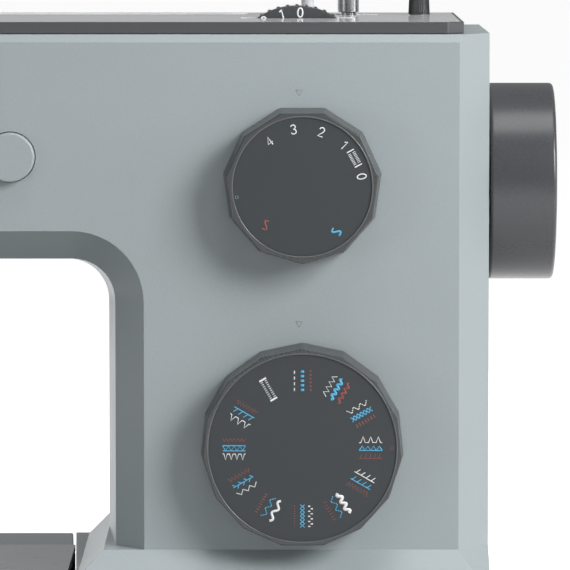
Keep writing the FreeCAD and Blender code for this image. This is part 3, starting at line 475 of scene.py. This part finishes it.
STOP_CENTRE = (156.0, 45.0)
SMALLEST_PANEL = 4e-6
stop = turned([(4.15, 292.0), (4.1, 293.0), (3.62, 303.4), (3.1, 304.0)], STOP_CENTRE, 36)
for face in stop.data.polygons:
    offset = face.center - Vector((STOP_CENTRE[0] * MM, STOP_CENTRE[1] * MM, face.center.z))
    heading = math.degrees(math.atan2(offset.y, offset.x)) + 5
    upright = abs(face.normal.z) < 0.3 and face.area > SMALLEST_PANEL
    face.select = upright and round(heading / 10) % 3 == 0
bpy.ops.object.mode_set(mode="EDIT")
bpy.ops.mesh.inset(thickness=0.05 * MM, use_individual=True)
bpy.ops.transform.shrink_fatten(value=-0.4 * MM)
soften(stop, 0.08, 2)
stop_rubber = moulded("stop_rubber", (0.075, 0.078, 0.08), 0.22, grain=0.3)
settle(stop, "winder_stop_fluted", "machine", stop_rubber, "winder_stop")


# ---- Stitch width disc
# A thin dark disc stands in a slot of the top cover. Its rim is beaded for the thumb, and
# white numbers are printed on its face.
dial_plastic = moulded("dial_plastic", (0.05, 0.054, 0.057), 0.29, grain=0.7, speckle=0.04)
white_ink = moulded("white_ink", (0.8, 0.81, 0.81), 0.5, grain=0.2, speckle=0.01)
DISC_CENTRE = (109.4, 270.2)
DISC_HUB = (DISC_CENTRE[0] * MM, 8 * MM, DISC_CENTRE[1] * MM)
BEAD_RING = 26.15
BEADS = 47
disc_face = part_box("stitch_width_dial")[0].y / MM
disc = merged_copy("stitch_width_dial")
bpy.ops.object.mode_set(mode="EDIT")
bpy.ops.mesh.select_all(action="SELECT")
bpy.ops.transform.resize(value=(0.985, 1, 0.985), center_override=DISC_HUB)
soften(disc, 0.5)
settle(disc, "stitch_width_dial_finished", "width_dial", dial_plastic, "stitch_width_dial")
pick(camera)
bpy.ops.mesh.primitive_uv_sphere_add(
    segments=10, ring_count=6, radius=0.95 * MM,
    location=(DISC_HUB[0], DISC_HUB[1], (DISC_CENTRE[1] + BEAD_RING) * MM))
bead = bpy.context.object
bpy.ops.object.mode_set(mode="EDIT")
bpy.ops.transform.resize(value=(1, 3.4, 0.9))
bpy.ops.object.mode_set(mode="OBJECT")
bpy.ops.object.shade_smooth()
bpy.ops.object.transform_apply(location=True)
beads = [bead]
for number in range(1, BEADS):
    pick(bead)
    bpy.ops.object.duplicate()
    bpy.ops.object.mode_set(mode="EDIT")
    bpy.ops.mesh.select_all(action="SELECT")
    bpy.ops.transform.rotate(value=2 * math.pi * number / BEADS, orient_axis="Y",
                             center_override=DISC_HUB)
    bpy.ops.object.mode_set(mode="OBJECT")
    beads.append(bpy.context.object)
for one in beads:
    one.select_set(True)
bpy.context.view_layer.objects.active = bead
bpy.ops.object.join()
settle(bpy.context.object, "width_disc_beads", "width_dial", dial_plastic)


def loop(across, up, wide, high):
    """A closed oval for a figure."""
    turns = [math.radians(step * 24) for step in range(16)]
    return [(across + wide * math.sin(turn), up + high * math.cos(turn)) for turn in turns]


six = [(0.2, 0.46), (0, 0.4), (-0.18, 0.17), (-0.26, -0.12)]
FIGURES = {
    "0": [loop(0, 0, 0.27, 0.5)],
    "1": [[(-0.2, 0.26), (0.06, 0.5), (0.06, -0.5)]],
    "2": [[(-0.27, 0.25), (-0.2, 0.42), (0, 0.5), (0.2, 0.42), (0.27, 0.22), (0.17, 0),
           (-0.28, -0.5), (0.29, -0.5)]],
    "3": [[(-0.25, 0.36), (-0.12, 0.48), (0.05, 0.5), (0.22, 0.4), (0.25, 0.24), (0.16, 0.08),
           (-0.02, 0.03), (0.18, -0.03), (0.28, -0.22), (0.22, -0.4), (0.03, -0.5),
           (-0.15, -0.47), (-0.28, -0.34)]],
    "4": [[(0.13, -0.5), (0.13, 0.5), (-0.3, -0.2), (0.3, -0.2)]],
    "5": [[(0.24, 0.5), (-0.18, 0.5), (-0.22, 0.05), (0, 0.12), (0.2, 0.05), (0.28, -0.17),
           (0.2, -0.42), (0, -0.5), (-0.2, -0.46), (-0.28, -0.33)]],
    "6": [six, loop(0, -0.2, 0.26, 0.3)],
    "7": [[(-0.28, 0.5), (0.28, 0.5), (-0.05, -0.5)]],
    "8": [loop(0, 0.26, 0.2, 0.24), loop(0, -0.25, 0.26, 0.26)],
    "9": [[(-across, -up) for across, up in six], loop(0, 0.2, 0.26, 0.3)],
}


def strokes_at(centre, angle, radius, across, shape):
    """Turn a shape drawn upright at nought into strokes at a dial's angle and radius."""
    return [(width, [ring_place(centre, angle, radius + up, across + right)
                     for right, up in points]) for width, points in shape]


def figures(centre, places, height, line):
    """The strokes of printed figures, each (figure, angle, radius), with their tops outwards."""
    strokes = []
    for figure, angle, radius in places:
        shape = [(line, [(right * height, up * height) for right, up in points])
                 for points in FIGURES[figure]]
        strokes += strokes_at(centre, angle, radius, 0, shape)
    return strokes


printed("width_figures", "width_dial", white_ink,
        figures(DISC_CENTRE, [("0", 3, 23.9), ("1", -13.5, 23.9), ("2", -30, 23.9),
                              ("3", -47, 23.9), ("4", -64, 23.9)], 3.5, 0.62), disc_face)


# ---- Stitch length dial
# An eleven-sided dark knob, with a round printed plate sunk in its front. It clips on the
# length shaft.
dial_plate = moulded("dial_plate", (0.022, 0.028, 0.032), 0.5, grain=1.2, speckle=0.05)
blue_ink = moulded("blue_ink", (0.08, 0.42, 0.68), 0.5, grain=0.2, speckle=0.02)
red_ink = moulded("red_ink", (0.22, 0.05, 0.048), 0.5, grain=0.2, speckle=0.02)
# The lip ring is about twice as light as the dial plastic. Its lighter colour is a painted
# highlight that brightens the crescent at the bore's edge, on top of its real gloss.
lip_highlight_plastic = moulded("lip_highlight_plastic", (0.1, 0.105, 0.11), 0.2, grain=0.1, speckle=0.02)


def knob(node, centre, plate_radius, body, plate_name, edge):
    """A faceted knob: its front is bored for a plate, and the plate lies low in the bore."""
    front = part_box(node)[0].y / MM
    piece = merged_copy(node)
    pick(camera)
    bpy.ops.mesh.primitive_cylinder_add(
        vertices=128, radius=(plate_radius + 0.05) * MM, depth=3 * MM,
        location=(centre[0] * MM, front * MM, centre[1] * MM),
        rotation=(math.radians(90), 0, 0))
    cutter = bpy.context.object
    pick(piece)
    bore = piece.modifiers.new("bore", "BOOLEAN")
    bore.operation = "DIFFERENCE"
    bore.object = cutter
    bore.solver = "EXACT"
    bpy.ops.object.modifier_apply(modifier="bore")
    bpy.data.objects.remove(cutter)
    soften(piece, edge, 3, 14)
    settle(piece, f"{node}_finished", body, dial_plastic, node)
    pick(camera)
    bpy.ops.mesh.primitive_cylinder_add(
        vertices=128, radius=plate_radius * MM, depth=0.8 * MM,
        location=(centre[0] * MM, (front + 0.95) * MM, centre[1] * MM),
        rotation=(math.radians(90), 0, 0))
    plate = bpy.context.object
    soften(plate, 0.1, 2)
    settle(plate, plate_name, body, dial_plate)
    # A glossy ring at the bore's edge, in the lighter lip colour, gives a painted highlight
    # crescent round the plate.
    pick(camera)
    bpy.ops.mesh.primitive_torus_add(
        major_radius=(plate_radius + 0.1) * MM, minor_radius=0.32 * MM, major_segments=128,
        minor_segments=10, location=(centre[0] * MM, (front + 0.2) * MM, centre[1] * MM),
        rotation=(math.radians(90), 0, 0))
    lip = bpy.context.object
    bpy.ops.object.mode_set(mode="EDIT")
    bpy.ops.transform.resize(value=(1, 0.8, 1))
    bpy.ops.object.mode_set(mode="OBJECT")
    bpy.ops.object.shade_smooth()
    settle(lip, f"{plate_name}_lip", body, lip_highlight_plastic)
    return front + 0.55


LENGTH_CENTRE = (111.3, 233.1)
depth = knob("stitch_length_dial", LENGTH_CENTRE, 25.3, "length_dial", "length_plate", 0.45)
printed("length_figures", "length_dial", white_ink,
        figures(LENGTH_CENTRE, [("4", -36, 20.3), ("3", -9, 21), ("2", 19, 21), ("1", 45, 21.3),
                                ("0", 80, 21.7)], 3.3, 0.46), depth)
buttonhole = [(0.5, [(side, -1.45), (side, 1.45)]) for side in (-3.0, 3.0)]
for row in range(8):
    across = (row - 3.5) * 0.58
    buttonhole.append((0.26, [(across, -1.45), (across, -0.35)]))
    buttonhole.append((0.26, [(across, 0.35), (across, 1.45)]))
printed("length_buttonhole", "length_dial", white_ink,
        strokes_at(LENGTH_CENTRE, 61, 21.4, 0, buttonhole), depth)
wave = [(0.75, [(1.25 * math.sin(step * 0.42), step * 0.24 - 1.8) for step in range(16)])]
printed("length_wave_blue", "length_dial", blue_ink,
        strokes_at(LENGTH_CENTRE, 143, 20.3, 0, wave), depth)
printed("length_wave_red", "length_dial", red_ink,
        strokes_at(LENGTH_CENTRE, -136, 19.2, 0, wave), depth)
grey_ink = moulded("grey_ink", (0.22, 0.23, 0.24), 0.5, grain=0.2, speckle=0.02)
dot = [(0.2, loop(0, 0, 0.55, 0.55))]
printed("length_dot", "length_dial", grey_ink, strokes_at(LENGTH_CENTRE, 261, 24, 0, dot), depth)


# ---- Pattern dial
# A fifteen-sided dark knob with a printed plate. Eleven groups of three stitch patterns in
# white, blue and red, and one buttonhole, stand round the plate like the hours of a clock.
PATTERN_CENTRE = (111.3, 138.2)
depth = knob("pattern_dial", PATTERN_CENTRE, 34.3, "pattern_dial", "pattern_plate", 0.35)
ICON_RADIUS = 20.6
LENGTH = 8.3
COLUMN = 2.9
THIN = 0.38


def zigzag(turns, width=0.9, line=THIN):
    """One line from side to side, with so many turns along its length."""
    count = turns * 2
    return [(line, [((-1) ** step * width, LENGTH * step / count) for step in range(count + 1)])]


def dashes(count, line, reach=0.0):
    """Short marks in a row along the pattern, or across it if they have reach."""
    pitch = LENGTH / count
    if reach:
        return [(line, [(-reach, pitch * (step + 0.5)), (reach, pitch * (step + 0.5))])
                for step in range(count)]
    return [(line, [(0, pitch * step + 0.3), (0, pitch * (step + 0.68))]) for step in range(count)]


def teeth(count, lean, line=THIN):
    """A base line with spikes on one side."""
    pitch = LENGTH / count
    comb = [(line, [(0.8, 0), (0.8, LENGTH)])]
    for step in range(count):
        foot = pitch * (step + 0.3)
        comb.append((line, [(0.8, foot), (-0.9, foot + lean)]))
    return comb


def peaks(count):
    """Spikes joined by short runs."""
    pitch = LENGTH / count
    path = [(0.9, 0)]
    for step in range(count):
        foot = pitch * step
        path += [(0.8, foot + pitch * 0.22), (-1.3, foot + pitch * 0.5),
                 (0.8, foot + pitch * 0.78)]
    return [(THIN, path + [(0.9, LENGTH)])]


def smooth_wave(count, width, line):
    """A round wave from side to side, with so many turns along its length."""
    points = count * 10
    return [(line, [(width * math.sin(math.tau * point / 10), LENGTH * point / points)
                    for point in range(points + 1)])]


def checks(count):
    """Two columns of small blocks, turn about."""
    pitch = LENGTH / count
    return [(0.85, [((-1) ** step * 0.45, pitch * step + 0.35),
                    ((-1) ** step * 0.45, pitch * step + 0.75)]) for step in range(count)]


def crosses(count, line=THIN, width=0.8):
    """A row of diagonal crosses, which reads as a lattice."""
    pitch = LENGTH / count
    row = []
    for step in range(count):
        foot = pitch * step
        row.append((line, [(-width, foot), (width, foot + pitch)]))
        row.append((line, [(width, foot), (-width, foot + pitch)]))
    return row


def triangles_row(count):
    """Triangles on a base line."""
    return [(THIN, [(0.8, 0), (0.8, LENGTH)])] + zigzag(count, 0.8)


def broken_zigzag(count, line=THIN):
    """A zigzag whose strokes are each broken in three."""
    row = []
    pitch = LENGTH / count
    for number in range(count):
        side = (-1) ** number
        for part in range(3):
            start, end = part / 3 + 0.04, part / 3 + 0.26
            row.append((line, [(side * (1.8 * start - 0.9), pitch * (number + start)),
                               (side * (1.8 * end - 0.9), pitch * (number + end))]))
    return row


def feather(count):
    """Slanting side stitches off a middle line."""
    pitch = LENGTH / count
    row = [(THIN, [(0, 0), (0, LENGTH)])]
    for number in range(count):
        foot = pitch * number
        side = (-1) ** number
        row.append((THIN, [(0, foot + 0.1), (side * 1.0, foot + pitch * 0.9)]))
    return row


def box_lattice(count):
    """A zigzag between two rails."""
    rails = [(THIN, [(side, 0), (side, LENGTH)]) for side in (-0.95, 0.95)]
    return rails + zigzag(count, 0.9)


def long_buttonhole():
    """Two rows of bars with a heavy bar at each end."""
    bars = []
    for number in range(9):
        row = 0.98 + number * 0.8
        bars.append((0.3, [(-1.25, row), (-0.4, row)]))
        bars.append((0.3, [(0.4, row), (1.25, row)]))
    return bars + [(0.8, [(-1.4, 0.1), (1.4, 0.1)]), (0.8, [(-1.4, 8.2), (1.4, 8.2)])]


groups = {
    0: (dashes(4, 0.4), dashes(5, 1.25), dashes(6, 0.7)),
    30: (zigzag(4), smooth_wave(4, 0.7, 0.95), smooth_wave(4, 0.7, 0.8)),
    60: (broken_zigzag(6), crosses(6, 0.42, 0.9), dashes(7, 0.4, 0.7)),
    90: (peaks(3), triangles_row(4), teeth(5, 0.4, 0.28)),
    120: (teeth(4, 0.9, 0.36), teeth(4, 0.9, 0.36), zigzag(7, 0.8, 0.4)),
    150: (smooth_wave(3, 0.8, 1.25), broken_zigzag(5, 0.4), dashes(7, 0.35, 0.7)),
    180: (checks(9), crosses(6, 0.34), dashes(9, 0.6)),
    210: (smooth_wave(2, 0.8, 1.0), broken_zigzag(5, 0.4), dashes(8, 0.4, 0.5)),
    240: (zigzag(3, 0.7), feather(7), zigzag(6, 0.7, 0.45)),
    270: (peaks(4), box_lattice(4), zigzag(6, 0.6, 0.35)),
    300: (peaks(3), teeth(4, 0.9), zigzag(7, 0.8, 0.35)),
}
inks = {"white": [], "blue": [], "red": []}
for angle, patterns in groups.items():
    for colour, across, pattern in zip(inks, (-COLUMN, 0, COLUMN), patterns):
        inks[colour] += strokes_at(PATTERN_CENTRE, angle, ICON_RADIUS, across, pattern)
inks["white"] += strokes_at(PATTERN_CENTRE, 330, ICON_RADIUS, 0, long_buttonhole())
for colour, material in (("white", white_ink), ("blue", blue_ink), ("red", red_ink)):
    printed(f"pattern_{colour}", "pattern_dial", material, inks[colour], depth)
printed("pattern_dot", "pattern_dial", red_ink,
        strokes_at(PATTERN_CENTRE, 90, 32.5, 0, dot), depth)


# ---- Tension dial
# A small dark knob on the upper arm, with numbers round its rim for the thread tension.
tension_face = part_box("tension_dial")[0].y / MM
finish_node("tension_dial", 0.6, dial_plastic)
TENSION_CENTRE = (-150, 250)
tension_places = [(str(number), number * 32 - 144, 8.2) for number in range(10)]
printed("tension_figures", "tension_dial", white_ink,
        figures(TENSION_CENTRE, tension_places, 2.0, 0.3), tension_face)


# ---- Handwheel
# A dark satin plastic wheel sits on the end of the main shaft. A clutch knob in its middle
# frees the needle drive for winding.
wheel_plastic = moulded("wheel_plastic", (0.055, 0.057, 0.062), 0.28, grain=0.4, speckle=0.03)
finish_node("handwheel", 1.4, wheel_plastic)
finish_node("clutch_knob", 0.8, wheel_plastic)
